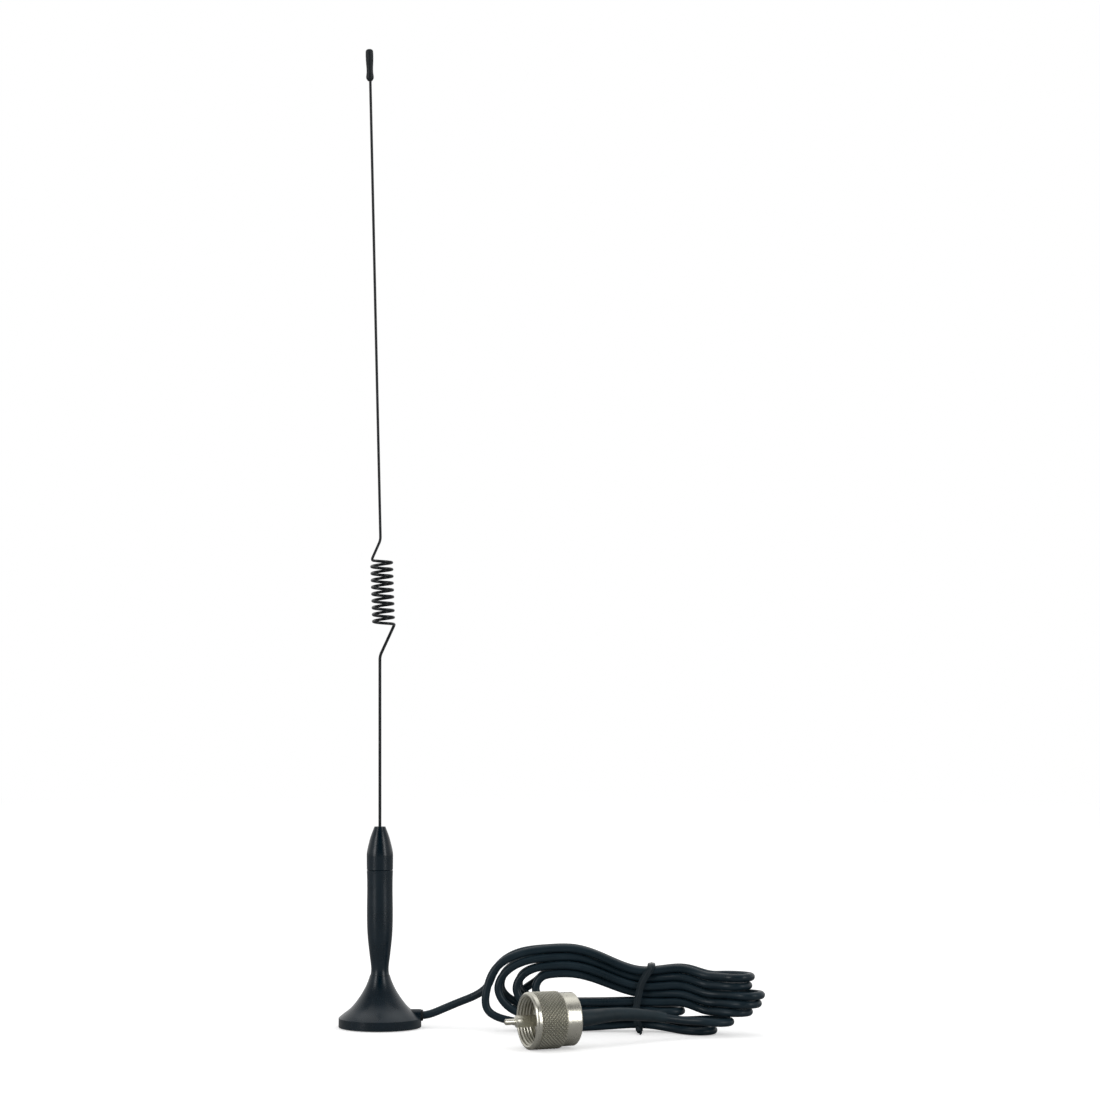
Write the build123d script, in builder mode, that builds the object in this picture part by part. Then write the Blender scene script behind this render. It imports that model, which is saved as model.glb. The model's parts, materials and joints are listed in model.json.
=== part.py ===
from build123d import *
from math import cos, radians, sin
import os

# Omnidirectional whip antenna on a magnet base, with its coax lead folded into a tied hank
# and ended by a screw-on coax plug. Millimetres, +Z up, origin at the middle of the base's
# underside. The whip stands on +Z and the lead leaves the base towards +X.

os.makedirs("parts", exist_ok=True)

# ---- magnet base
rim_r = 14.0
rim_top = 3.3
seam_z = 17.7            # top of the flare, where the mast starts
seam_r = 3.36
cavity_r = 12.6
pad_t = 0.4
cup_r = 12.5
cup_top = 2.55
cup_wall = 0.55
magnet_r = 11.6
magnet_bore_r = 3.2
outlet_z = 4.15          # height of the cable where it leaves the base
outlet_end = 13.9
outlet_r = 2.1

# ---- mast and ferrule
mast_top = 53.3
mast_r = 4.43
neck_r = 2.98
socket_r = 2.9           # bore that holds the loading coil and the threaded insert
stem_r = 1.95            # narrow bore at the foot of the mast
coil_seat_z = 27.65
ferrule_top = 68.0
ferrule_shoulder = 58.3
stud_r = 2.45            # M5 stud under the ferrule
stud_gap = 0.05

# ---- whip
wire_r = 0.5
upper_wire_r = 0.45
wire_bore_r = 0.55
whip_foot = 58.6
kink_z = 125.7           # bend below the phasing coil
coil_r = 3.42            # to the middle of the wire
coil_pitch = 2.32
coil_turns = 9.33
coil_foot = (1.27, 0.0, 136.4)
coil_lean = (-0.67, 2.0, 21.2)
upper_kink = (0.2, 0.4, 165.0)
cap_foot = (-3.35, 0.4, 320.4)
cap_length = 10.8

# ---- coax cable
cable_r = 1.33
jacket_start = 9.4
jacket_end = 18.2
braid_r = 1.01
braid_bore_r = 0.86
dielectric_r = 0.76
dielectric_bore_r = 0.32
core_r = 0.24
cable_spans = 64         # pieces the run is swept in
run_start = 6.0
run_end = 9.0

# ---- plug: its axis lies level, turned 23 degrees from the base's X axis
plug_turn = radians(23)
mouth = (50.0, -58.6, 9.35)
nut_r = 9.35
nut_length = 16.4
lip_length = 2.0
knurl_end = 11.0
collar_r = 8.7
thread_major_r = 7.94    # 5/8-24
thread_minor_r = 7.4
thread_pitch = 25.4 / 24
body_r = 6.0
body_gap = 0.05
pin_r = 1.98
pin_tip_r = 1.0
pin_reach = 7.6
knurl_teeth = 40
knurl_rings = 7
sleeve_start = 17.2      # heat-shrink over the crimp and the first of the cable

back = (cos(plug_turn), sin(plug_turn), 0.0)


def plug_at(t):
    """Point on the plug's axis, t behind the nut's mouth."""
    return (mouth[0] + t * back[0], mouth[1] + t * back[1], mouth[2])


plug_side = Plane(origin=mouth, x_dir=back, z_dir=(back[1], -back[0], 0))
plug_axis = Axis(mouth, back)


def plug_cross(t):
    """Plane across the plug's axis, facing the cable."""
    return Plane(origin=plug_at(t), x_dir=(0, 0, 1), z_dir=back)


# ---- the hank: eight fingers stacked over one another, four in the lower leg and four in
# the upper, joined by the fold at the left. Fingers count upwards from the ground.
hank_y = -10.5
swing_start = 84.0
swing_r = [42.0] + [75.0] * 7        # how sharply each finger curves forwards
fold_x = 58.0
fold_z = 14.65
fold_height = 13.2
row_pitch = 2.84
fold_reach = [21.5, 17.8, 11.7, 5.2]
limb_gap = 1.6                       # half the space between a finger's two limbs
tie_x = 88.0
tie_t = 0.6
tie_width = 2.3
tie_half = 4.65          # from the bundle's middle to the ribbon's, and its two levels
tie_low = 0.55
tie_high = 23.0
finger_end = [109.0, 116.5, 97.5, 121.0, 124.0, 125.5, 121.0, 121.5]
finger_z = [1.42, 4.7, 7.1, 7.7, 10.65, 13.55, 16.45, 19.4]
bend_r = [4.6, 4.2, 4.2, 4.4, 4.7, 4.4, 4.2, 4.6]
finger_order = [7, 0, 4, 3, 5, 2, 6]
last_finger = 1


def depth(k):
    """How deep a finger lies in the fold: 0 is the outermost."""
    return k if k < 4 else 7 - k


def tie_level(k):
    return 2.5 + 2.58 * k


def spread_level(k):
    return 1.42 + 2.85 * k


def fold_level(k):
    h = fold_height - row_pitch * depth(k)
    return fold_z - h if k < 4 else fold_z + h


def hank_point(k, s, c, z, along=0.0, across=0.0):
    """Point s along the hank's upright centre surface, c behind it and z high."""
    turn = max(0.0, s - swing_start) / swing_r[k]
    x = min(s, swing_start) + swing_r[k] * sin(turn) + along * cos(turn)
    y = hank_y - swing_r[k] * (1 - cos(turn)) - along * sin(turn)
    return (x + (c + across) * sin(turn), y + (c + across) * cos(turn), z)


def limb(k, side):
    """One limb of a finger, from the fold out to its bend."""
    lean = 0.8 * (-1) ** k
    middle = (fold_level(k) + tie_level(k)) / 2
    spread = (tie_level(k) + spread_level(k)) / 2
    if k == 2:
        stations = [(66, 1.9, 0.3, fold_level(k)), (77, 1.8, 0.3, middle), (tie_x, 2.0, 0.3, tie_level(k))]
        stations += [(finger_end[k] - 5, 3.1, 0, finger_z[k])]
    else:
        stations = [(66, limb_gap, 0.6 * lean, fold_level(k)), (77, limb_gap, lean, middle)]
        stations += [(tie_x, limb_gap, lean, tie_level(k)), (95.5, 1.75, 0.6 * lean, spread)]
        if k > 2:
            stations += [(103, 1.9, 0, spread_level(k)), (111.5, 2.3, 0, finger_z[k])]
        stations += [(finger_end[k] - 6.5, 3.2, 0, finger_z[k])]
    return [hank_point(k, s, c * side + shift, z) for s, c, shift, z in stations]


def bend(k, side, centre_c=0.0, stop=-90):
    """The round end of a finger, starting on the given side."""
    angles = [radians(90 + (stop - 90) * j / 4) for j in range(5)]
    return [
        hank_point(k, finger_end[k], centre_c, finger_z[k], bend_r[k] * cos(a), side * bend_r[k] * sin(a))
        for a in angles
    ]


def fold(start, stop):
    """The turn at the left end, from one finger to the next."""
    rising = stop > 3
    points = []
    for j in range(7):
        share = min(1, j / 4)
        share = share * share * (3 - 2 * share)
        row = depth(start) + (depth(stop) - depth(start)) * share
        reach = fold_reach[depth(start)] + (fold_reach[depth(stop)] - fold_reach[depth(start)]) * share
        angle = radians(-90 + 30 * j if rising else 90 - 30 * j)
        c = limb_gap if rising else -limb_gap
        if (start, stop) == (0, 4):
            c = 3.4 if j in (0, 6) else 4.8          # this one crosses behind the others
        slack = 3.0 if (start, stop, j) == (7, 0, 4) else 0.0
        x = fold_x - reach * cos(angle) - slack
        points.append(hank_point(7, x, c, fold_z + (fold_height - row_pitch * row) * sin(angle)))
    return points


def lead_points():
    """From inside the base, up behind the fold and on to the top limb."""
    inside = [(x, 0, outlet_z) for x in (run_start, 8.2, 10.4, 12.6, 14.6)]
    return inside + [(20.6, -0.4, 6.0), (27.6, -1.2, 9.0), (33.1, -2.1, 11.5), (36.6, -2.9, 14.6),
                     (38.2, -3.4, 18.2), (41.6, -4.4, 22.9), (48, -6.6, 26.4), (57, -8.6, 27.8)]


def tail_points():
    """From the last finger's open bend into the plug."""
    outside = [(108, -27.0, 5.3), (101.8, -29.3, 6.0), (94, -33, 7.5), (87, -38.2, 8.9),
               (80, -43.4, 9.7), (73.8, -47.6, 9.6)]
    return outside + [plug_at(t) for t in (20, 17.2, 14.4, 11.6, run_end)]


def cable_points():
    points = lead_points()
    for here, after in zip(finger_order, finger_order[1:] + [last_finger]):
        side = 1 if here > 3 else -1
        points += limb(here, side) + bend(here, side) + limb(here, -side)[::-1]
        points += fold(here, after)
    front = [(66, -2.1, fold_level(1)), (77, -2.4, (fold_level(1) + tie_level(1)) / 2)]
    front += [(tie_x, -2.4, tie_level(1)), (95.5, -2.25, (tie_level(1) + spread_level(1)) / 2)]
    front += [(103, -1.9, spread_level(1)), (110.5, -1.2, finger_z[1])]
    points += [hank_point(1, s, c, z) for s, c, z in front]
    return points + bend(last_finger, 1, centre_c=-5.0, stop=-47) + tail_points()


with BuildLine() as cable_run:
    Spline(*cable_points())
coax = cable_run.edges()[0]


def finish(name, builder):
    """Label a finished sub-part and write its file."""
    builder.part.label = name
    export_step(builder.part, f"parts/{name}.step")


# ==== magnet base ====

with BuildPart() as base_shell:
    # flared skirt with an upright rim and a stub on the side where the cable leaves
    with BuildSketch(Plane.XZ):
        with BuildLine():
            Polyline((0, seam_z), (0, 0.2), (rim_r - 0.15, 0.2), (rim_r, 0.35), (rim_r, rim_top))
            Spline((rim_r, rim_top), (12.6, 4.5), (10.05, 6.5), (7.42, 9.6), (5.5, 12.6),
                   (4.03, 15.7), (seam_r, seam_z))
            Line((seam_r, seam_z), (0, seam_z))
        make_face()
    revolve(axis=Axis.Z)
    with BuildSketch(Plane.YZ.offset(8.6)):
        with Locations((0, outlet_z)):
            Circle(outlet_r)
    extrude(amount=outlet_end - 8.6)
    # room for the magnet, the cup and the screw
    with BuildSketch(Plane.XZ):
        Polygon((0, 0), (cavity_r, 0), (cavity_r, 2.9), (9.4, 5.2), (5.6, 9.6), (3.9, 11.0),
                (3.9, 11.9), (0, 11.9), align=None)
    revolve(axis=Axis.Z, mode=Mode.SUBTRACT)
    with Locations((0, 0, 10)):
        Hole(2.3)
    with BuildSketch(Plane.YZ.offset(7.5)):
        with Locations((0, outlet_z)):
            Circle(1.72)
    extrude(amount=8, mode=Mode.SUBTRACT)

with BuildPart() as base_pad:
    Cylinder(cavity_r - 0.1, pad_t, align=(Align.CENTER, Align.CENTER, Align.MIN))
    fillet(base_pad.edges().group_by(Axis.Z)[0], 0.1)

with BuildPart() as magnet_cup:
    with BuildSketch(Plane.XZ):
        Polygon((1.6, cup_top), (1.6, cup_top - cup_wall), (cup_r - 0.7, cup_top - cup_wall),
                (cup_r - 0.7, pad_t + 0.02), (cup_r, pad_t + 0.02), (cup_r, cup_top - 0.25),
                (cup_r - 0.25, cup_top), align=None)
    revolve(axis=Axis.Z)

with BuildPart() as ring_magnet:
    with Locations((0, 0, pad_t + 0.02)):
        Cylinder(magnet_r, cup_top - cup_wall - pad_t - 0.05,
                 align=(Align.CENTER, Align.CENTER, Align.MIN))
    with Locations((0, 0, 1)):
        Hole(magnet_bore_r)
    chamfer(ring_magnet.edges().group_by(Axis.Z)[-1], 0.2)

with BuildPart() as ground_tag:
    # solder tag that joins the cable's braid to the cup
    with BuildSketch(Plane.XY.offset(cup_top + 0.02)):
        Circle(4.4)
        with Locations((5.2, 0)):
            Rectangle(4.4, 1.8)
        Circle(3.1, mode=Mode.SUBTRACT)
        with Locations((6.4, 0)):
            Circle(0.45, mode=Mode.SUBTRACT)
    extrude(amount=0.2)

with BuildPart() as mast_screw:
    with BuildSketch(Plane.XZ):
        Polygon((0, 8.0), (2.7, 8.0), (2.7, 10.1), (1.45, 10.1), (1.45, 26.8), (1.2, 27.05),
                (0, 27.05), align=None)
    revolve(axis=Axis.Z)
    with BuildSketch(Plane.XY.offset(8.0)):
        RegularPolygon(1.45, 6)
    extrude(amount=1.2, mode=Mode.SUBTRACT)

with BuildPart() as core_tag:
    # solder tag for the cable's core, clamped under the insulating bush
    with BuildSketch(Plane.XY.offset(10.13)):
        Circle(2.9)
        with Locations((3.0, 0)):
            Rectangle(1.4, 1.3)
        Circle(1.5, mode=Mode.SUBTRACT)
    extrude(amount=0.3)

with BuildPart() as insulator_bush:
    with BuildSketch(Plane.XZ):
        Polygon((1.5, 10.46), (3.7, 10.46), (3.7, 11.87), (2.25, 11.87), (2.25, seam_z),
                (1.5, seam_z), align=None)
    revolve(axis=Axis.Z)

with BuildPart() as cable_grommet:
    with BuildSketch(Plane.XZ):
        Polygon((cup_r + 0.1, outlet_z + 1.38), (14.6, outlet_z + 1.38), (14.6, outlet_z + 1.85),
                (rim_r + 0.03, outlet_z + 1.95), (rim_r + 0.03, outlet_z + 1.69),
                (cup_r + 0.1, outlet_z + 1.69), align=None)
    revolve(axis=Axis((0, 0, outlet_z), (1, 0, 0)))

# ==== mast with its loading coil ====

with BuildPart() as mast_body:
    with BuildSketch(Plane.XZ):
        with BuildLine():
            Polyline((0, mast_top), (0, seam_z + 0.08), (3.2, seam_z + 0.08))
            Spline((3.2, seam_z + 0.08), (neck_r, 19.2), (3.25, 22.8), (3.74, 26.8), (4.15, 30.9),
                   (4.3, 33.5), (4.36, 42), (mast_r, mast_top - 0.15))
            Polyline((mast_r, mast_top - 0.15), (mast_r - 0.15, mast_top), (0, mast_top))
        make_face()
    revolve(axis=Axis.Z)
    with BuildSketch(Plane.XZ):
        Polygon((0, 17), (stem_r, 17), (stem_r, coil_seat_z), (socket_r, coil_seat_z),
                (socket_r, mast_top + 1), (0, mast_top + 1), align=None)
    revolve(axis=Axis.Z, mode=Mode.SUBTRACT)

with BuildPart() as foot_insert:
    # brass bush that the base's screw threads into
    with BuildSketch(Plane.XZ):
        Polygon((1.5, 19), (1.9, 19), (1.9, coil_seat_z + 0.03), (2.85, coil_seat_z + 0.03),
                (2.85, 29.4), (0, 29.4), (0, 27.3), (1.5, 27.3), align=None)
    revolve(axis=Axis.Z)

with BuildPart() as coil_former:
    with BuildSketch(Plane.XZ):
        Polygon((0, 29.43), (2.8, 29.43), (2.8, 30.4), (1.6, 30.4), (1.6, 45.0), (2.8, 45.0),
                (2.8, 45.95), (0, 45.95), align=None)
    revolve(axis=Axis.Z)

with BuildPart() as loading_coil:
    with BuildLine(Plane.XY.offset(31)) as loading_path:
        Helix(pitch=0.95, height=13.3, radius=1.9)
    with BuildSketch(Plane(origin=loading_path.line @ 0, z_dir=loading_path.line % 0)):
        Circle(0.2)
    sweep(is_frenet=True)

with BuildPart() as ferrule_insert:
    # threaded brass socket for the ferrule's stud
    with Locations((0, 0, 46.0)):
        Cylinder(2.85, mast_top - 46.1, align=(Align.CENTER, Align.CENTER, Align.MIN))
    with BuildSketch(Plane.XY.offset(47.6)):
        Circle(stud_r + stud_gap)
    extrude(amount=8, mode=Mode.SUBTRACT)

with BuildPart() as whip_ferrule:
    # stud, short cylinder and ogival nose, bored for the whip and tapped for the grub screw
    with BuildSketch(Plane.XZ):
        with BuildLine():
            Polyline((0, ferrule_top), (0, 48.3), (stud_r - 0.3, 48.3), (stud_r, 48.6),
                     (stud_r, mast_top + 0.1), (mast_r - 0.15, mast_top + 0.1),
                     (mast_r, mast_top + 0.25), (mast_r + 0.03, ferrule_shoulder))
            Spline((mast_r + 0.03, ferrule_shoulder), (4.22, 60.4), (3.72, 62.5), (3.21, 64.4),
                   (2.45, 66.5), (1.87, ferrule_top))
            Line((1.87, ferrule_top), (0, ferrule_top))
        make_face()
    revolve(axis=Axis.Z)
    with BuildSketch(Plane.XY.offset(51)):
        Circle(wire_bore_r)
    extrude(amount=20, mode=Mode.SUBTRACT)
    with BuildSketch(Plane.XZ.offset(-0.3)):
        with Locations((0, 56)):
            Circle(1.05)
    extrude(amount=-6, mode=Mode.SUBTRACT)

with BuildPart() as grub_screw:
    with BuildSketch(Plane.XZ.offset(-0.65)):
        with Locations((0, 56)):
            Circle(1.0)
    extrude(amount=-3.1)
    with BuildSketch(Plane.XZ.offset(-3.75)):
        with Locations((0, 56)):
            RegularPolygon(0.52, 6)
    extrude(amount=1.3, mode=Mode.SUBTRACT)

# ==== whip ====

coil_plane = Plane(origin=coil_foot, x_dir=(1, 0, 0.03), z_dir=coil_lean)

with BuildPart() as phasing_coil:
    with BuildLine(coil_plane) as coil_path:
        Helix(pitch=coil_pitch, height=coil_pitch * coil_turns, radius=coil_r, lefthand=True)
    with BuildSketch(Plane(origin=coil_path.line @ 0, z_dir=coil_path.line % 0)):
        Circle(wire_r)
    sweep(is_frenet=True)

coil_in, coil_out = coil_path.line @ 0, coil_path.line @ 1
in_dir, out_dir = coil_path.line % 0, coil_path.line % 1

with BuildPart() as whip_lower:
    with BuildLine() as lower_path:
        FilletPolyline((0, 0, whip_foot), (0, 0, kink_z), coil_in - in_dir * 2.2,
                       coil_in - in_dir * 0.02, radius=1.0)
    with BuildSketch(Plane.XY.offset(whip_foot)):
        Circle(wire_r)
    sweep()

rod_dir = (Vector(*cap_foot) - Vector(*upper_kink)).normalized()
cap_plane = Plane(origin=cap_foot, x_dir=(1, 0, 0), z_dir=rod_dir)

with BuildPart() as whip_upper:
    with BuildLine() as upper_path:
        FilletPolyline(coil_out + out_dir * 0.02, coil_out + out_dir * 1.9, upper_kink,
                       Vector(*cap_foot) + rod_dir * 8.7, radius=0.9)
    with BuildSketch(Plane(origin=upper_path.line @ 0, z_dir=upper_path.line % 0)):
        Circle(upper_wire_r)
    sweep()

with BuildPart() as tip_cap:
    with BuildSketch(Plane(origin=cap_foot, x_dir=(1, 0, 0), z_dir=cap_plane.y_dir * -1)):
        with BuildLine():
            Polyline((0, cap_length), (0, 0), (0.72, 0), (1.2, 0.75))
            Spline((1.2, 0.75), (1.27, 1.2), (1.13, 2.4), (1.08, 6.0), (1.05, cap_length - 0.9))
            ThreePointArc((1.05, cap_length - 0.9), (0.76, cap_length - 0.25), (0, cap_length))
        make_face()
    revolve(axis=Axis(cap_foot, rod_dir))
    with BuildSketch(cap_plane.offset(-0.5)):
        Circle(upper_wire_r + 0.03)
    extrude(amount=9.4, mode=Mode.SUBTRACT)

# ==== coax, sleeve and tie ====

with BuildPart() as cable_jacket:
    # swept in short spans from just inside the base to inside the plug's sleeve
    first = (jacket_start - run_start) / coax.length
    last = 1 - (jacket_end - run_end) / coax.length
    marks = [first + (last - first) * i / cable_spans for i in range(cable_spans + 1)]
    jacket_path = Wire([coax.trim(low, high) for low, high in zip(marks, marks[1:])])
    with BuildSketch(Plane(origin=jacket_path @ 0, z_dir=jacket_path % 0)):
        Circle(cable_r)
    sweep(path=jacket_path)

base_end = Plane(origin=(jacket_start, 0, outlet_z), z_dir=(-1, 0, 0))
plug_end = Plane(origin=plug_at(jacket_end), z_dir=(-back[0], -back[1], 0))

with BuildPart() as cable_braid:
    for end in (base_end, plug_end):
        with BuildSketch(end.offset(0.03)):
            Circle(braid_r)
            Circle(braid_bore_r, mode=Mode.SUBTRACT)
        extrude(amount=1.0)

with BuildPart() as cable_dielectric:
    for end, bare in ((base_end, 1.9), (plug_end, 5.0)):
        with BuildSketch(end.offset(0.03)):
            Circle(dielectric_r)
            Circle(dielectric_bore_r, mode=Mode.SUBTRACT)
        extrude(amount=bare)

with BuildPart() as cable_core:
    for end, bare in ((base_end, 3.0), (plug_end, 9.0)):
        with BuildSketch(end.offset(0.03)):
            Circle(core_r)
        extrude(amount=bare)

with BuildPart() as heat_shrink:
    # thick over the crimp, easing down to a skin over the cable
    sleeve_reach = 36.0
    sleeve_sizes = [2.62, 2.6, 2.3, 2.15, 2.05, 1.85, 1.7]
    near = 1 - (sleeve_start - run_end) / coax.length
    marks = [near - sleeve_reach / coax.length * i / 6 for i in range(7)]
    for mark, size in zip(marks, sleeve_sizes):
        with BuildSketch(Plane(origin=coax @ mark, z_dir=coax % mark)):
            Circle(size)
    loft()
    over, span = 1 / coax.length, (marks[0] - marks[-1]) / 4
    lows = [marks[-1] - over, marks[-1] + span, marks[-1] + 2 * span, marks[-1] + 3 * span]
    sleeve_path = Wire([coax.trim(a, b) for a, b in zip(lows, lows[1:] + [marks[0] + over])])
    with BuildSketch(Plane(origin=sleeve_path @ 0, z_dir=sleeve_path % 0)):
        Circle(cable_r + 0.05)
    sweep(path=sleeve_path, mode=Mode.SUBTRACT)
    with BuildSketch(plug_cross(sleeve_start - 1)):
        Circle(2.3)
    extrude(amount=4.6, mode=Mode.SUBTRACT)

tie_foot = (tie_x - 0.6, -10.7, 0)

with BuildPart() as cable_tie:
    # flat tie: a ribbon round the bundle, leaning outwards at the top
    band = Plane(origin=tie_foot, x_dir=(0, 1, 0), z_dir=(1, 0, -0.19))
    half, low, high = tie_half + tie_t / 2, tie_low - tie_t / 2, tie_high + tie_t / 2
    with BuildSketch(band):
        with BuildLine():
            FilletPolyline((-half, low), (half, low), (half, high), (-half, high), radius=2.5, close=True)
        make_face()
        offset(amount=-tie_t, mode=Mode.SUBTRACT)
    extrude(amount=tie_width / 2, both=True)

# ==== plug ====

with BuildPart() as plug_body:
    # barrel that the nut turns on, with a flange ahead of it and a groove for the ring behind
    with BuildSketch(plug_side):
        Polygon((4.0, 4.7), (4.0, body_r - 0.3), (4.3, body_r), (9.9, body_r), (9.9, 7.0),
                (11.3, 7.0), (11.3, body_r), (15.3, body_r), (15.3, 5.5), (16.0, 5.5),
                (16.0, body_r), (16.3, body_r - 0.2), (16.3, 2.3), (13.2, 2.3), (13.2, 1.5),
                (12.6, 1.5), (12.6, 0.9), (9.0, 0.9), (9.0, 4.7), align=None)
    revolve(axis=plug_axis)
    with BuildSketch(plug_cross(4.0)):
        with PolarLocations(5.4, 4):
            Rectangle(2.4, 1.6)
    extrude(amount=1.2, mode=Mode.SUBTRACT)

with BuildPart() as plug_insulator:
    with BuildSketch(plug_side):
        Polygon((4.4, 1.65), (4.4, 4.3), (4.7, 4.62), (8.9, 4.62), (8.9, 1.0), (8.4, 1.0),
                (8.4, 1.65), align=None)
    revolve(axis=plug_axis)

with BuildPart() as centre_pin:
    # hollow pin with a slimmer tip
    with BuildSketch(plug_side):
        Polygon((-pin_reach, 0), (-pin_reach, pin_tip_r - 0.3), (-pin_reach + 0.3, pin_tip_r),
                (-4.2, pin_tip_r), (-3.6, pin_r), (4.3, pin_r), (4.3, 1.6), (8.3, 1.6),
                (8.3, 0), align=None)
    revolve(axis=plug_axis)
    with BuildSketch(plug_cross(8.5)):
        Circle(0.85)
    extrude(amount=-4, mode=Mode.SUBTRACT)

with BuildPart() as crimp_ferrule:
    with BuildSketch(plug_side):
        Polygon((13.3, 1.62), (13.3, 2.22), (20.4, 2.22), (20.6, 2.05), (20.6, 1.62), align=None)
    revolve(axis=plug_axis)

with BuildPart() as retaining_ring:
    # split ring that keeps the nut from sliding back along the cable
    with BuildSketch(plug_side):
        Polygon((15.35, 5.55), (15.35, 6.9), (15.9, 6.9), (15.9, 5.55), align=None)
    revolve(axis=plug_axis)
    with BuildSketch(plug_cross(15)):
        with Locations((6.2, 0)):
            Rectangle(3, 1.4)
    extrude(amount=2, mode=Mode.SUBTRACT)


def thread_profile():
    """Nut bore from the mouth inwards: one V for each turn of the thread."""
    points = []
    t = 0.7
    while t + thread_pitch < 9.0:
        points += [(t, thread_minor_r), (t + 0.12, thread_minor_r),
                   (t + thread_pitch / 2, thread_major_r), (t + thread_pitch - 0.12, thread_minor_r)]
        t += thread_pitch
    return points


def knurl_profile():
    """Rings of the knurl, from the collar back to the lip."""
    pitch = (knurl_end - lip_length) / knurl_rings
    points = []
    for i in range(knurl_rings):
        t = knurl_end - i * pitch
        points += [(t, nut_r - 0.32), (t - pitch / 2, nut_r)]
    return points


with BuildPart() as coupling_nut:
    with BuildSketch(plug_side):
        Polygon((0, thread_major_r), *thread_profile(), (9.2, 7.5), (11.36, 7.5),
                (11.36, body_r + body_gap), (15.25, body_r + body_gap), (15.25, 7.3),
                (nut_length, 7.3), (nut_length, collar_r - 0.5), (nut_length - 0.5, collar_r),
                (knurl_end + 0.2, collar_r), *knurl_profile(), (lip_length, nut_r - 0.32),
                (lip_length - 0.15, nut_r - 0.05), (0.6, nut_r - 0.05), (0, nut_r - 0.6), align=None)
    revolve(axis=plug_axis)
    # axial grooves that cut the rings into points
    with BuildSketch(plug_cross(lip_length)):
        with PolarLocations(nut_r - 0.32, knurl_teeth):
            Polygon((0, 0), (0.6, 0.62), (0.6, -0.62), align=None)
    extrude(amount=knurl_end - lip_length, mode=Mode.SUBTRACT)

finish("base_shell", base_shell)
finish("base_pad", base_pad)
finish("magnet_cup", magnet_cup)
finish("ring_magnet", ring_magnet)
finish("ground_tag", ground_tag)
finish("mast_screw", mast_screw)
finish("core_tag", core_tag)
finish("insulator_bush", insulator_bush)
finish("cable_grommet", cable_grommet)
finish("mast_body", mast_body)
finish("foot_insert", foot_insert)
finish("coil_former", coil_former)
finish("loading_coil", loading_coil)
finish("ferrule_insert", ferrule_insert)
finish("whip_ferrule", whip_ferrule)
finish("grub_screw", grub_screw)
finish("whip_lower", whip_lower)
finish("phasing_coil", phasing_coil)
finish("whip_upper", whip_upper)
finish("tip_cap", tip_cap)
finish("cable_jacket", cable_jacket)
finish("cable_braid", cable_braid)
finish("cable_dielectric", cable_dielectric)
finish("cable_core", cable_core)
finish("heat_shrink", heat_shrink)
finish("cable_tie", cable_tie)
finish("plug_body", plug_body)
finish("plug_insulator", plug_insulator)
finish("centre_pin", centre_pin)
finish("crimp_ferrule", crimp_ferrule)
finish("retaining_ring", retaining_ring)
finish("coupling_nut", coupling_nut)
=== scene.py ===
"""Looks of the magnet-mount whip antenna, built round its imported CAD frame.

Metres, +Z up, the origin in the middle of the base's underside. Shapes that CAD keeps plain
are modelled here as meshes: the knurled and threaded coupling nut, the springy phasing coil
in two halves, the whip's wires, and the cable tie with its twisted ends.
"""

import bpy
import json
import math
import numpy as np
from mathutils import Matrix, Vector


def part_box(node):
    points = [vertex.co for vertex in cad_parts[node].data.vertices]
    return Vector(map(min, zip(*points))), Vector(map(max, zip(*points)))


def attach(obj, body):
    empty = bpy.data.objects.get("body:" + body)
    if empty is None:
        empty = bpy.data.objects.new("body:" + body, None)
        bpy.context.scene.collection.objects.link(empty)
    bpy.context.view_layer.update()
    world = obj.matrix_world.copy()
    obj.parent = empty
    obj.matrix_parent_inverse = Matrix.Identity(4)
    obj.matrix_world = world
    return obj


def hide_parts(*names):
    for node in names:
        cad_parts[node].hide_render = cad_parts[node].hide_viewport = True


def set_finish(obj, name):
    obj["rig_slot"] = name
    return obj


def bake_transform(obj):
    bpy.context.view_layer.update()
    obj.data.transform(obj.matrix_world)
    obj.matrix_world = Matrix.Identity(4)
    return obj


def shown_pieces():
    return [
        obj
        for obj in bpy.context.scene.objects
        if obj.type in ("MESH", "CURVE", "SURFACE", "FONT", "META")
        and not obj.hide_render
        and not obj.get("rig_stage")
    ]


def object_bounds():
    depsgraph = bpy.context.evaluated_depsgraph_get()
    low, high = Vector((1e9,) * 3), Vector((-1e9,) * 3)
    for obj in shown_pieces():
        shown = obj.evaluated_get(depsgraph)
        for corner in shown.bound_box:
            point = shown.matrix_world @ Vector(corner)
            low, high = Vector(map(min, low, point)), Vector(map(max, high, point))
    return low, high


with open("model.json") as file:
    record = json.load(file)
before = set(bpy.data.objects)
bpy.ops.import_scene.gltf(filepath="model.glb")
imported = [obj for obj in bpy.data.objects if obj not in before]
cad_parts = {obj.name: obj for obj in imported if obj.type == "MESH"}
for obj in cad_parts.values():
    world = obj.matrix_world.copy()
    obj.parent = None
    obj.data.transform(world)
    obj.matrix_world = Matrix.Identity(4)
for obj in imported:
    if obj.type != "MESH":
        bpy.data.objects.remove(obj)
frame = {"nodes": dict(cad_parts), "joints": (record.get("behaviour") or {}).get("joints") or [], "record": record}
cad_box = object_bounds()

MM = 0.001

# ---- camera, set at the height of the whip's middle and looking level along +Y
camera_distance = 1297 * MM       # in front of the mast
camera_height = 161.6 * MM
camera_lens = 125.4               # millimetres on a 36 mm sensor

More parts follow.
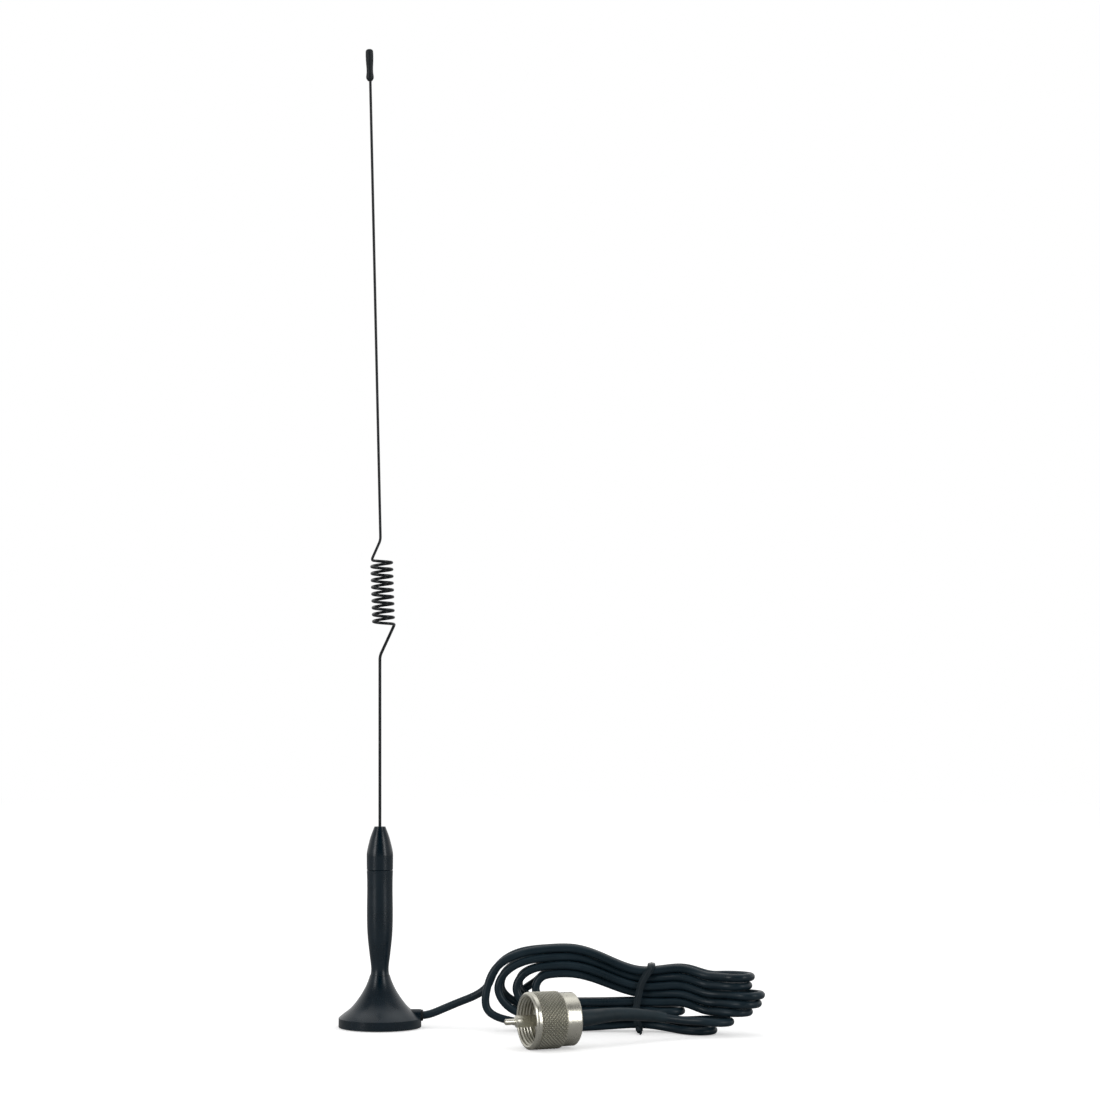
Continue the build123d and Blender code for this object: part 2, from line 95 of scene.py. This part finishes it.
# ---- studio
floor_glow = 0.42
floor_mirrored = (0.30, 0.30, 0.30)
floor_reach = 9.0                 # metres out to its edge
floor_depth = 0.02 * MM           # under the base, so that the two don't share a plane
sky_dim = 0.03                    # brightness of mirrored rays: round the camera,
sky_side = 0.42                   # beside the object,
sky_back = 0.8                    # behind it,
sky_top = -0.26                   # and added overhead
sky_fill = 0.6                    # what matt surfaces gather from every side
side_power = 5.0                  # watts
top_power = 5.0
side_place = (1.1, -0.95, 0.2)    # of the right soft box, from the object's middle
side_size = (0.42, 1.3)
top_place = (0, 0.25, 1.5)
top_size = (2.0, 1.4)

# ---- coupling nut, measured along its axis from the mouth
nut_length = 16.4 * MM
lip_radius = 9.3 * MM
knurl_start = 2.0 * MM
knurl_end = 11.0 * MM
knurl_peak = 9.35 * MM
knurl_valley = 8.78 * MM
knurl_count = 44                  # diamonds round the nut
knurl_pitch = 1.2 * MM            # one diamond along the axis
collar_radius = 8.7 * MM
thread_start = 0.7 * MM
thread_end = 9.0 * MM
thread_minor = 7.4 * MM
thread_major = 7.94 * MM
thread_pitch = 25.4 / 24 * MM
relief_radius = 7.5 * MM
relief_end = 11.36 * MM
wall_bore = 6.05 * MM
wall_end = 15.25 * MM
counterbore = 7.3 * MM
corner_radius = 0.14 * MM         # of every edge
chamfer = 0.5 * MM
fade_length = 0.3 * MM            # over which knurl and thread run out

# ---- phasing coil
coil_radius = 3.42 * MM           # to the middle of the wire
coil_pitch = 2.32 * MM
coil_turns = 9.33
coil_wire = 0.5 * MM
coil_lean = (-0.67, -0.4, 21.2)   # the way its axis runs
coil_tilt = 0.03                  # how far the start of the first turn is tipped up
coil_steps = 56                   # rings of mesh in a turn

# ---- whip wires
upper_wire = 0.45 * MM
lower_kink = 125.7 * MM           # height of the bend below the coil
upper_kink = (0.2 * MM, 0, 165 * MM)
wire_bend = 1.2 * MM
wire_step = 2 * MM
cap_overlap = 2 * MM              # how far below the cap's top the wire ends

# ---- cable tie, a flat ribbon with a wire along its middle
tie_width = 2.3 * MM
tie_edge = 0.30 * MM              # thickness beside the wire
tie_ridge = 0.34 * MM             # added by the wire
tie_swing = 2.6 * MM              # how far the front of the loop bows to the left
tie_wire = 0.4 * MM
tie_twist_length = 5.2 * MM
tie_twist_turns = 2.25
tie_twist_way = (0.12, -0.98, -0.14)


# ==== mesh helpers ====

def mesh_object(name, verts, faces, sharp_angle=None):
    """A smooth-shaded mesh object, with edges sharper than sharp_angle left crisp."""
    mesh = bpy.data.meshes.new(name)
    mesh.from_pydata([tuple(v) for v in verts], [], faces)
    mesh.validate()
    mesh.shade_smooth()
    if sharp_angle is not None:
        mesh.set_sharp_from_angle(angle=math.radians(sharp_angle))
    obj = bpy.data.objects.new(name, mesh)
    bpy.context.scene.collection.objects.link(obj)
    return obj


def ring_faces(rows, columns, wrap_rows=False):
    """Quads of a grid whose columns close on themselves, and whose rows may too."""
    faces = []
    for i in range(rows if wrap_rows else rows - 1):
        here, there = i * columns, (i + 1) % rows * columns
        for j in range(columns):
            k = (j + 1) % columns
            faces.append((here + j, here + k, there + k, there + j))
    return faces


def tube(name, centres, radius, sides=16, rounded_ends=False):
    """A round wire along a line of points, closed at both ends."""
    centres = np.array(centres)
    tangents = np.gradient(centres, axis=0)
    tangents /= np.linalg.norm(tangents, axis=1)[:, None]
    shares = np.ones(len(centres))
    if rounded_ends:
        shares[[0, -1]] = 0.45
        shares[[1, -2]] = 0.85
    normal = np.cross(tangents[0], (0.3, 0.5, 0.81))
    verts = []
    for centre, tangent, share in zip(centres, tangents, shares):
        normal = normal - tangent * (normal @ tangent)
        normal /= np.linalg.norm(normal)
        side = np.cross(tangent, normal)
        for j in range(sides):
            a = 2 * math.pi * j / sides
            verts.append(centre + (normal * math.cos(a) + side * math.sin(a)) * radius * share)
    faces = ring_faces(len(centres), sides)
    faces.append(tuple(range(sides))[::-1])
    faces.append(tuple(range((len(centres) - 1) * sides, len(centres) * sides)))
    return mesh_object(name, verts, faces, sharp_angle=70)


def bent_wire(corners, radius, step):
    """Points along straight runs between corners, each inner corner turned in a smooth bend."""
    bends = []
    for before, corner, after in zip(corners, corners[1:], corners[2:]):
        p, a, b = np.array(corner), np.array(before), np.array(after)
        start = p + (a - p) * min(radius / np.linalg.norm(a - p), 0.49)
        end = p + (b - p) * min(radius / np.linalg.norm(b - p), 0.49)
        shares = np.linspace(0, 1, 9)
        bends.append([start * (1 - s) ** 2 + p * 2 * s * (1 - s) + end * s ** 2 for s in shares])
    stops = [[np.array(corners[0])]] + bends + [[np.array(corners[-1])]]
    line = []
    for here, there in zip(stops, stops[1:]):
        run = there[0] - here[-1]
        count = max(2, int(np.linalg.norm(run) / step))
        line += here[:-1]
        line += [here[-1] + run * s for s in np.linspace(0, 1, count, endpoint=False)]
    return line + stops[-1]


def rounded(points, radius, steps=3):
    """An open outline with each inner corner cut back by radius and bridged by a short curve."""
    outline = [points[0]]
    for before, corner, after in zip(points, points[1:], points[2:]):
        p, a, b = np.array(corner), np.array(before), np.array(after)
        back = (a - p) * min(radius / np.linalg.norm(a - p), 0.45)
        ahead = (b - p) * min(radius / np.linalg.norm(b - p), 0.45)
        for i in range(steps + 1):
            s = i / steps
            outline.append(tuple(p + back * (1 - s) ** 2 + ahead * s ** 2))
    return outline + [points[-1]]


def saw(x):
    """A triangle wave from 0 to 1 and back over each whole number."""
    return 1 - np.abs(2 * (x - np.floor(x)) - 1)


def fade(x):
    x = np.clip(x, 0, 1)
    return x * x * (3 - 2 * x)


# ==== pieces ====

def nut_stations():
    """The nut's section as (distance from the mouth, radius, kind), round from the collar's back."""
    collar = [(wall_end, counterbore), (nut_length, counterbore),
              (nut_length, collar_radius - chamfer), (nut_length - chamfer, collar_radius),
              (knurl_end + 0.2 * MM, collar_radius), (knurl_end + 0.1 * MM, knurl_valley)]
    lip = [(knurl_start - 0.1 * MM, knurl_valley), (knurl_start - 0.15 * MM, lip_radius),
           (0.6 * MM, lip_radius), (0, lip_radius - 0.55 * MM),
           (0, thread_major + 0.35 * MM), (thread_start - 0.4 * MM, thread_major)]
    inside = [(thread_end + 0.1 * MM, thread_major), (thread_end + 0.25 * MM, relief_radius),
              (relief_end, relief_radius), (relief_end, wall_bore),
              (wall_end, wall_bore), (wall_end, counterbore)]
    knurled = np.arange(knurl_end, knurl_start, -0.15 * MM)
    threaded = np.arange(thread_start - 0.3 * MM, thread_end, 0.13 * MM)
    stations = [(t, r, "plain") for t, r in rounded(collar, corner_radius)]
    stations += [(t, knurl_valley, "knurl") for t in knurled]
    stations += [(t, r, "plain") for t, r in rounded(lip, corner_radius)]
    stations += [(t, thread_major, "thread") for t in threaded]
    stations += [(t, r, "plain") for t, r in rounded(inside, corner_radius)[:-1]]
    return stations


def build_nut():
    """The coupling nut: diamond knurl outside, a real screw thread inside."""
    stations = nut_stations()
    joint = next(j for j in frame["joints"] if j["name"] == "nut_spin")
    axis = Vector(joint["axis"]).normalized()
    mouth = Vector(joint["pos_m"])
    side = axis.cross(Vector((0, 0, 1))).normalized()
    up = side.cross(axis)

    columns = knurl_count * 8
    angle = np.arange(columns) * 2 * math.pi / columns
    verts, grooves = [], []
    for t, r, kind in stations:
        radius = np.full(columns, r)
        groove = np.zeros(columns)
        if kind == "knurl":
            around = knurl_count * angle / (2 * math.pi)
            diamond = np.minimum(saw(around + t / knurl_pitch), saw(around - t / knurl_pitch))
            ends = fade((t - knurl_start) / fade_length) * fade((knurl_end - t) / fade_length)
            height = np.clip(diamond * 1.45, 0, 1)
            radius += (knurl_peak - knurl_valley) * height * ends
            groove = 1 - height
        if kind == "thread":
            crest = np.clip(saw(t / thread_pitch - angle / (2 * math.pi)) * 1.25 - 0.1, 0, 1)
            ends = fade((t - thread_start) / chamfer) * fade((thread_end - t) / fade_length)
            radius += (thread_minor - thread_major) * crest * ends
            groove = 0.9 * (1 - crest)
        for a, rho in zip(angle, radius):
            verts.append(mouth + axis * t + (side * math.cos(a) + up * math.sin(a)) * rho)
        grooves.extend(groove)
    faces = ring_faces(len(stations), columns, wrap_rows=True)
    nut = mesh_object("coupling_nut_knurled", verts, faces, sharp_angle=38)
    # the groove depth goes to the nickel finish, which paints shade into the knurl and thread valleys
    depth = nut.data.attributes.new("groove", "FLOAT", "POINT")
    depth.data.foreach_set("value", np.array(grooves, np.float32))
    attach(nut, "nut")
    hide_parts("coupling_nut")
    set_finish(nut, "nickel")


def coil_frame():
    """The coil's foot, where the lower wire ends, and the coil's axes."""
    low, high = [Vector(j["pos_m"]) for j in frame["joints"] if j["name"].startswith("coil_sway")]
    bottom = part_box("whip_lower")[1].z - coil_wire
    foot = low + (high - low) * ((bottom - low.z) / (high.z - low.z))
    up = Vector(coil_lean).normalized()
    across = Vector((1, 0, coil_tilt))
    across = (across - up * across.dot(up)).normalized()
    return foot, up, across


def build_coil():
    """The phasing coil in two halves, split at its middle; gives its points."""
    foot, up, across = coil_frame()
    beside = up.cross(across)
    steps = int(coil_turns * coil_steps)
    points = []
    for i in range(steps + 1):
        turn = coil_turns * i / steps
        a = 2 * math.pi * turn
        offset = (across * math.cos(a) - beside * math.sin(a)) * coil_radius
        points.append(foot + up * coil_pitch * turn + offset)
    half = steps // 2
    lower = tube("phasing_coil_lower", points[:half + 1], coil_wire)
    upper = tube("phasing_coil_upper", points[half:], coil_wire)
    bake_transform(lower)
    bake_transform(upper)
    for piece in (lower, upper):
        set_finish(piece, "whip_black")
    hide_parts("phasing_coil")
    return points


def build_whip(coil):
    """The straight wires below and above the coil, each with its bend at the coil's end."""
    arrive = (coil[1] - coil[0]).normalized()
    leave = (coil[-1] - coil[-2]).normalized()
    foot = Vector((0, 0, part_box("whip_lower")[0].z))
    lower_line = bent_wire([foot, Vector((0, 0, lower_kink)), coil[0] - arrive * 2.2 * MM, coil[0]],
                           wire_bend, wire_step)
    cap_low, cap_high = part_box("tip_cap")
    cap_middle = (cap_low + cap_high) / 2
    cap = Vector((cap_middle.x, cap_middle.y, cap_high.z - cap_overlap))
    upper_line = bent_wire([coil[-1], coil[-1] + leave * 1.9 * MM, Vector(upper_kink), cap],
                           wire_bend, wire_step)
    lower = tube("whip_wire_lower", lower_line, coil_wire, sides=20)
    upper = tube("whip_wire_upper", upper_line, upper_wire, sides=20)
    homes = ((lower, "whip_foot", "whip_lower"), (upper, "whip_top", "whip_upper"))
    for piece, body, node in homes:
        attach(piece, body)
        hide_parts(node)
        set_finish(piece, "whip_black")


def tie_loop(count):
    """Points round the tie's loop and the way out from the bundle at each, starting at the top."""
    low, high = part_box("cable_tie")
    half_y, half_z = (high.y - low.y) / 2, (high.z - low.z) / 2
    inset = tie_edge + 0.05 * MM
    centre = (low + high) / 2
    lean = (high.x - low.x - tie_width) / 2
    points, outs = [], []
    for i in range(count):
        a = 2 * math.pi * i / count
        across, along = -math.sin(a), math.cos(a)
        square = (abs(across) ** 5 + abs(along) ** 5) ** -0.2
        y, z = across * square, along * square
        bow = tie_swing * fade(-y) * fade(1 - z * z)
        points.append(np.array((centre.x + lean * z - bow, centre.y + y * (half_y - inset),
                                centre.z + z * (half_z - inset))))
        out = np.array((0, np.sign(y) * abs(y) ** 4 / half_y, np.sign(z) * abs(z) ** 4 / half_z))
        outs.append(out / np.linalg.norm(out))
    return points, outs


def build_tie():
    """The tie's ribbon, a closed loop whose section is flat with a round ridge over the wire."""
    points, outs = tie_loop(160)
    across = np.linspace(-1, 1, 13)
    section = [(w, 1) for w in across] + [(w, -1) for w in across[::-1]]
    verts = []
    for i, (point, out) in enumerate(zip(points, outs)):
        tangent = points[(i + 1) % len(points)] - points[i - 1]
        side = np.cross(tangent, out)
        side /= np.linalg.norm(side)
        for w, face in section:
            thick = tie_edge * (1 - 0.5 * abs(w) ** 6) + tie_ridge * math.exp(-(w / 0.28) ** 2)
            verts.append(point + side * w * tie_width / 2 + out * face * thick / 2)
    faces = ring_faces(len(points), len(section), wrap_rows=True)
    ribbon = mesh_object("cable_tie_ribbon", verts, faces, sharp_angle=60)
    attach(ribbon, "base")
    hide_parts("cable_tie")
    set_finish(ribbon, "tie_plastic")


def build_tie_ends():
    """The tie's two ends, twisted together and laid forwards on the ground."""
    low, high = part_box("cable_tie")
    start = Vector((low.x + 0.5 * MM, low.y + 0.3 * MM, low.z + 1.7 * MM))
    reach = Vector(tie_twist_way) * tie_twist_length
    across = reach.cross(Vector((0, 0, 1))).normalized()
    up = across.cross(reach).normalized()
    for number, phase in enumerate((0.0, math.pi)):
        points = []
        for i in range(61):
            s = i / 60
            a = phase + 2 * math.pi * tie_twist_turns * s
            swing = tie_wire * (0.95 + 0.8 * fade((s - 0.8) / 0.2))
            points.append(start + reach * s + (across * math.cos(a) + up * math.sin(a)) * swing)
        end = tube("cable_tie_end_%d" % (number + 1), points, tie_wire, sides=12, rounded_ends=True)
        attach(end, "base")
        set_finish(end, "tie_plastic")


# ==== materials ====

def set_range(node, low, high, start, end):
    """Sets a map range node to turn low..high into start..end."""
    names = ("From Min", "From Max", "To Min", "To Max")
    for name, number in zip(names, (low, high, start, end)):
        node.inputs[name].default_value = number


class Finish:
    """One procedural material: a principled surface and the few node chains it shares."""

    def __init__(self, name):
        self.name = name
        self.material = bpy.data.materials.new(name)
        self.material.use_nodes = True
        self.tree = self.material.node_tree
        self.shader = self.tree.nodes["Principled BSDF"]
        self.place = self.tree.nodes.new("ShaderNodeTexCoord").outputs["Object"]
        self.normal = None

    def link(self, source, target):
        self.tree.links.new(source, target)

    def math(self, operation, a, b=0.0, clamp=False):
        node = self.tree.nodes.new("ShaderNodeMath")
        node.operation = operation
        node.use_clamp = clamp
        for socket, value in zip(node.inputs, (a, b)):
            if isinstance(value, (int, float)):
                socket.default_value = value
            else:
                self.link(value, socket)
        return node.outputs[0]

    def noise(self, size, detail=3.0, stretch=(1, 1, 1)):
        """Noise with features about size metres across, stretched along an axis by its divisor."""
        mapping = self.tree.nodes.new("ShaderNodeMapping")
        mapping.inputs["Scale"].default_value = [1 / size / s for s in stretch]
        self.link(self.place, mapping.inputs["Vector"])
        node = self.tree.nodes.new("ShaderNodeTexNoise")
        node.inputs["Scale"].default_value = 1.0
        node.inputs["Detail"].default_value = detail
        self.link(mapping.outputs[0], node.inputs["Vector"])
        return node.outputs["Fac"]

    def span(self, value, low, high, start=0.0, end=1.0):
        """The value mapped from low..high to start..end."""
        node = self.tree.nodes.new("ShaderNodeMapRange")
        self.link(value, node.inputs["Value"])
        set_range(node, low, high, start, end)
        return node.outputs[0]

    def mix(self, share, first, second):
        node = self.tree.nodes.new("ShaderNodeMix")
        node.data_type = "RGBA"
        sockets = [node.inputs["Factor"]] + [s for s in node.inputs if s.type == "RGBA"]
        for socket, value in zip(sockets, (share, first, second)):
            if isinstance(value, (int, float)):
                socket.default_value = value
            elif isinstance(value, tuple):
                socket.default_value = (*value, 1)
            else:
                self.link(value, socket)
        return [s for s in node.outputs if s.type == "RGBA"][0]

    def edges(self, width, amount=1.0):
        """How much a point lies on a corner: 0 on open faces, towards 1 along edges."""
        bevel = self.tree.nodes.new("ShaderNodeBevel")
        bevel.samples = 4
        bevel.inputs["Radius"].default_value = width
        geometry = self.tree.nodes.new("ShaderNodeNewGeometry")
        dot = self.tree.nodes.new("ShaderNodeVectorMath")
        dot.operation = "DOT_PRODUCT"
        self.link(bevel.outputs[0], dot.inputs[0])
        self.link(geometry.outputs["Normal"], dot.inputs[1])
        turned = self.math("SUBTRACT", 1.0, dot.outputs["Value"])
        return self.math("MULTIPLY", self.span(turned, 0.02, 0.2), amount, clamp=True)

    def hollows(self, distance):
        """How sheltered a point is: 0 in the open, towards 1 in grooves."""
        node = self.tree.nodes.new("ShaderNodeAmbientOcclusion")
        node.samples = 6
        node.inputs["Distance"].default_value = distance
        return self.math("SUBTRACT", 1.0, node.outputs["AO"], clamp=True)

    def bump(self, height, depth, strength=1.0):
        node = self.tree.nodes.new("ShaderNodeBump")
        node.inputs["Distance"].default_value = depth
        node.inputs["Strength"].default_value = strength
        self.link(height, node.inputs["Height"])
        if self.normal is not None:
            self.link(self.normal, node.inputs["Normal"])
        self.normal = node.outputs[0]
        self.link(self.normal, self.shader.inputs["Normal"])

    def colour(self, source):
        self.link(source, self.shader.inputs["Base Color"])

    def roughness(self, source):
        self.link(source, self.shader.inputs["Roughness"])

    def set(self, **values):
        names = {"metal": "Metallic", "specular": "Specular IOR Level",
                 "coat": "Coat Weight", "coat_rough": "Coat Roughness"}
        for key, value in values.items():
            self.shader.inputs[names[key]].default_value = value


def dark_finish(name, colour, dusty, rough, grain, depth, blotch=9 * MM, wear=0.35, **values):
    """Black plastic, rubber or lacquer: cloudy colour, pale dust specks, pale rubbed edges."""
    finish = Finish(name)
    cloud = finish.noise(blotch, detail=4)
    fine = finish.noise(grain, detail=2)
    shade = tuple(c * 0.62 for c in colour)
    body = finish.mix(finish.span(cloud, 0.3, 0.7), shade, colour)
    dust = finish.noise(0.7 * MM, detail=5)
    specks = finish.math("MULTIPLY", finish.span(dust, 0.60, 0.78), 0.35)
    body = finish.mix(specks, body, dusty)
    if wear > 0:
        rubbed = finish.span(cloud, 0.25, 0.65, 0.0, wear)
        rubbed = finish.math("MULTIPLY", finish.edges(0.25 * MM), rubbed)
        body = finish.mix(rubbed, body, dusty)
    finish.colour(body)
    smudge = finish.span(cloud, 0.3, 0.7, rough * 0.75, rough * 1.3)
    grainy = finish.span(fine, 0.35, 0.65, -0.02, 0.03)
    finish.roughness(finish.math("ADD", smudge, grainy, clamp=True))
    finish.bump(fine, depth)
    finish.set(**values)
    return finish


def metal_finish(name, colour, groove_shade_colour, rough, brushed=(1, 1, 1), shade_reach=0.6 * MM, depth=0.006 * MM):
    """Plated or bare metal: brushed grain, tarnish clouds, and painted shade that darkens the hollows and grooves.
    """
    finish = Finish(name)
    cloud = finish.noise(5 * MM, detail=4)
    grain = finish.noise(0.12 * MM, detail=3, stretch=brushed)
    bright = tuple(min(1.0, c * 1.08) for c in colour)
    body = finish.mix(finish.span(cloud, 0.3, 0.7), colour, bright)
    groove = finish.tree.nodes.new("ShaderNodeAttribute")
    groove.attribute_name = "groove"
    # painted shade: sheltered hollows and knurl and thread valleys are darkened towards the metal's dark colour,
    # and made rougher
    sheltered = finish.math("MAXIMUM", finish.hollows(shade_reach), groove.outputs["Fac"])
    groove_shade_mask = finish.math("MULTIPLY", sheltered, finish.span(cloud, 0.2, 0.7, 0.8, 1.0), clamp=True)
    body = finish.mix(finish.math("MULTIPLY", groove_shade_mask, 0.8), body, groove_shade_colour)
    finish.colour(body)
    worn = finish.span(cloud, 0.3, 0.7, rough * 0.8, rough * 1.25)
    grainy = finish.math("ADD", worn, finish.span(grain, 0.35, 0.65, -0.04, 0.06))
    finish.roughness(finish.math("ADD", grainy, finish.math("MULTIPLY", groove_shade_mask, 0.25), clamp=True))
    finish.bump(grain, depth)
    finish.set(metal=1.0)
    return finish


def make_finishes():
    """Every material slot of the record, by name."""
    pale = (0.050, 0.062, 0.068)
    gloss = dict(specular=0.5, coat=0.12, coat_rough=0.2)
    satin = dict(specular=0.35)
    sleeve = dark_finish("shrink_tube", (0.0150, 0.0330, 0.0440), pale, 0.46,
                         0.3 * MM, 0.02 * MM, wear=0.25, **satin)
    sleeve.bump(sleeve.noise(2.6 * MM, detail=1), 0.22 * MM)
    jacket = dark_finish("cable_pvc", (0.0125, 0.0300, 0.0430), pale, 0.33,
                         0.22 * MM, 0.008 * MM, blotch=14 * MM, wear=0, **satin)
    jacket.bump(jacket.noise(4 * MM, detail=1), 0.05 * MM)
    finishes = [
        sleeve,
        jacket,
        dark_finish("black_chrome", (0.0025, 0.0150, 0.0265), pale, 0.27,
                    0.35 * MM, 0.0015 * MM, **gloss),
        dark_finish("mast_black", (0.0025, 0.0150, 0.0265), pale, 0.28,
                    0.4 * MM, 0.003 * MM, **gloss),
        dark_finish("whip_black", (0.0040, 0.0080, 0.0110), pale, 0.3,
                    0.15 * MM, 0.004 * MM, blotch=20 * MM, wear=0),
        dark_finish("cap_plastic", (0.0060, 0.0125, 0.0165), pale, 0.42,
                    0.2 * MM, 0.012 * MM, wear=0.2),
        dark_finish("tie_plastic", (0.0090, 0.0220, 0.0310), pale, 0.36,
                    0.2 * MM, 0.01 * MM, wear=0.2),
        dark_finish("soft_black", (0.008, 0.011, 0.013), pale, 0.6, 0.25 * MM, 0.02 * MM),
        dark_finish("pad_rubber", (0.010, 0.011, 0.012), pale, 0.75, 0.3 * MM, 0.04 * MM),
        dark_finish("ferrite", (0.05, 0.05, 0.055), (0.2, 0.2, 0.2), 0.7,
                    0.3 * MM, 0.05 * MM),
        dark_finish("white_plastic", (0.80, 0.79, 0.74), (0.45, 0.40, 0.32), 0.4,
                    0.3 * MM, 0.01 * MM, wear=0.15),
        # the second colour of each metal is the painted shade in its hollows and grooves
        metal_finish("tinned_brass", (0.72, 0.70, 0.66), (0.12, 0.10, 0.08), 0.32),
        metal_finish("zinc_steel", (0.56, 0.57, 0.59), (0.10, 0.09, 0.08), 0.34, (9, 1, 1)),
        metal_finish("brass", (0.76, 0.58, 0.27), (0.16, 0.10, 0.04), 0.26),
        metal_finish("copper", (0.72, 0.33, 0.18), (0.20, 0.08, 0.04), 0.3),
        metal_finish("nickel", (0.80, 0.78, 0.68), (0.29, 0.285, 0.24), 0.27),
    ]
    return {finish.name: finish.material for finish in finishes}


def paint_everything():
    """Gives each piece and each CAD node the finish of its material slot."""
    finishes = make_finishes()
    slots = {part["node"]: part["material_slot"] for part in frame["record"]["subparts"]}
    for name, node in frame["nodes"].items():
        set_material(node, finishes[slots[name]])
    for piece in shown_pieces():
        if "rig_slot" in piece:
            set_material(piece, finishes[piece["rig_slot"]])


def set_material(obj, material):
    obj.data.materials.clear()
    obj.data.materials.append(material)


# ==== studio ====

def build_floor():
    """A round pale floor, clear from below so that the underside can be looked at."""
    rings, columns = 24, 96
    verts = [(0.0, 0.0, -floor_depth)]
    for i in range(1, rings + 1):
        r = floor_reach * (i / rings) ** 2
        for j in range(columns):
            a = 2 * math.pi * j / columns
            verts.append((r * math.cos(a), r * math.sin(a), -floor_depth))
    faces = [(0, 1 + j, 1 + (j + 1) % columns) for j in range(columns)]
    for i in range(rings - 1):
        here, there = 1 + i * columns, 1 + (i + 1) * columns
        for j in range(columns):
            k = (j + 1) % columns
            faces.append((here + j, there + j, there + k, here + k))
    floor = mesh_object("floor", verts, faces)
    set_material(floor, floor_finish())
    floor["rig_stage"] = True


def floor_finish():
    """Pale paper to the camera, fading to white; greyer in reflections, as a lit table would be."""
    finish = Finish("pale_floor")
    grain = finish.noise(0.4 * MM, detail=3)
    paper = finish.mix(finish.span(grain, 0.3, 0.7), (0.90, 0.90, 0.90), (0.93, 0.93, 0.93))
    seen = finish.tree.nodes.new("ShaderNodeLightPath").outputs["Is Camera Ray"]
    finish.colour(finish.mix(seen, floor_mirrored, paper))
    finish.set(specular=0.0)
    finish.shader.inputs["Roughness"].default_value = 0.9
    finish.shader.inputs["Emission Color"].default_value = (1, 1, 1, 1)
    glow = finish.math("MULTIPLY", seen, floor_glow)
    finish.link(glow, finish.shader.inputs["Emission Strength"])
    length = finish.tree.nodes.new("ShaderNodeVectorMath")
    length.operation = "LENGTH"
    finish.link(finish.place, length.inputs[0])
    white = finish.tree.nodes.new("ShaderNodeEmission")
    far = finish.math("MULTIPLY", finish.span(length.outputs["Value"], 0.3, 1.2), seen, clamp=True)
    clear = finish.tree.nodes.new("ShaderNodeBsdfTransparent")
    below = finish.tree.nodes.new("ShaderNodeNewGeometry").outputs["Backfacing"]
    surface = finish.shader.outputs[0]
    for share, other in ((far, white.outputs[0]), (below, clear.outputs[0])):
        blend = finish.tree.nodes.new("ShaderNodeMixShader")
        finish.link(share, blend.inputs[0])
        finish.link(surface, blend.inputs[1])
        finish.link(other, blend.inputs[2])
        surface = blend.outputs[0]
    finish.link(surface, finish.tree.nodes["Material Output"].inputs["Surface"])
    return finish.material


def build_sky():
    """White behind the object, grey beside it and dim round the camera, as black gloss shows it."""
    world = bpy.data.worlds.new("studio")
    bpy.context.scene.world = world
    world.use_nodes = True
    nodes, links = world.node_tree.nodes, world.node_tree.links
    split = nodes.new("ShaderNodeSeparateXYZ")
    links.new(nodes.new("ShaderNodeTexCoord").outputs["Generated"], split.inputs[0])
    spans = (("Y", -0.85, -0.6, sky_dim, sky_side), ("Y", -0.1, 0.6, 0.0, sky_back - sky_side),
             ("Z", 0.25, 0.8, 0.0, sky_top))
    total = None
    for axis, low, high, start, end in spans:
        glow = nodes.new("ShaderNodeMapRange")
        glow.interpolation_type = "SMOOTHSTEP"
        links.new(split.outputs[axis], glow.inputs["Value"])
        set_range(glow, low, high, start, end)
        if total is None:
            total = glow.outputs[0]
        else:
            add = nodes.new("ShaderNodeMath")
            links.new(total, add.inputs[0])
            links.new(glow.outputs[0], add.inputs[1])
            total = add.outputs[0]
    ray = nodes.new("ShaderNodeLightPath")
    for kind, level in (("Is Diffuse Ray", sky_fill), ("Is Camera Ray", 1.0)):
        choose = nodes.new("ShaderNodeMix")
        links.new(ray.outputs[kind], choose.inputs["Factor"])
        links.new(total, choose.inputs["A"])
        choose.inputs["B"].default_value = level
        total = choose.outputs["Result"]
    links.new(total, nodes["Background"].inputs["Strength"])
    nodes["Background"].inputs["Color"].default_value = (1, 1, 1, 1)


def soft_box(name, place, target, size, power):
    """A rectangular light at a place, turned towards a target."""
    data = bpy.data.lights.new(name, "AREA")
    data.shape = "RECTANGLE"
    data.size, data.size_y = size
    data.energy = power
    lamp = bpy.data.objects.new(name, data)
    lamp.location = place
    lamp.rotation_mode = "QUATERNION"
    lamp.rotation_quaternion = (Vector(target) - Vector(place)).to_track_quat("-Z", "Y")
    bpy.context.scene.collection.objects.link(lamp)


def build_lights():
    """Two tall soft boxes beside the camera and a broad one overhead."""
    middle = (cad_box[0] + cad_box[1]) / 2
    for name, side in (("left_box", -1), ("right_box", 1)):
        place = middle + Vector(side_place) * Vector((side, 1, 1))
        soft_box(name, place, middle, side_size, side_power)
    soft_box("top_box", middle + Vector(top_place), middle, top_size, top_power)


def build_camera():
    data = bpy.data.cameras.new("camera")
    data.lens = camera_lens
    data.sensor_width = 36
    data.clip_end = 30
    camera = bpy.data.objects.new("camera", data)
    middle = (cad_box[0] + cad_box[1]) / 2
    camera.location = (middle.x, -camera_distance, camera_height)
    camera.rotation_euler = (math.radians(90), 0, 0)
    bpy.context.scene.collection.objects.link(camera)
    bpy.context.scene.camera = camera


build_nut()
build_whip(build_coil())
build_tie()
build_tie_ends()
build_floor()
build_sky()
build_lights()
build_camera()
paint_everything()
bpy.context.scene.view_settings.view_transform = "Standard"
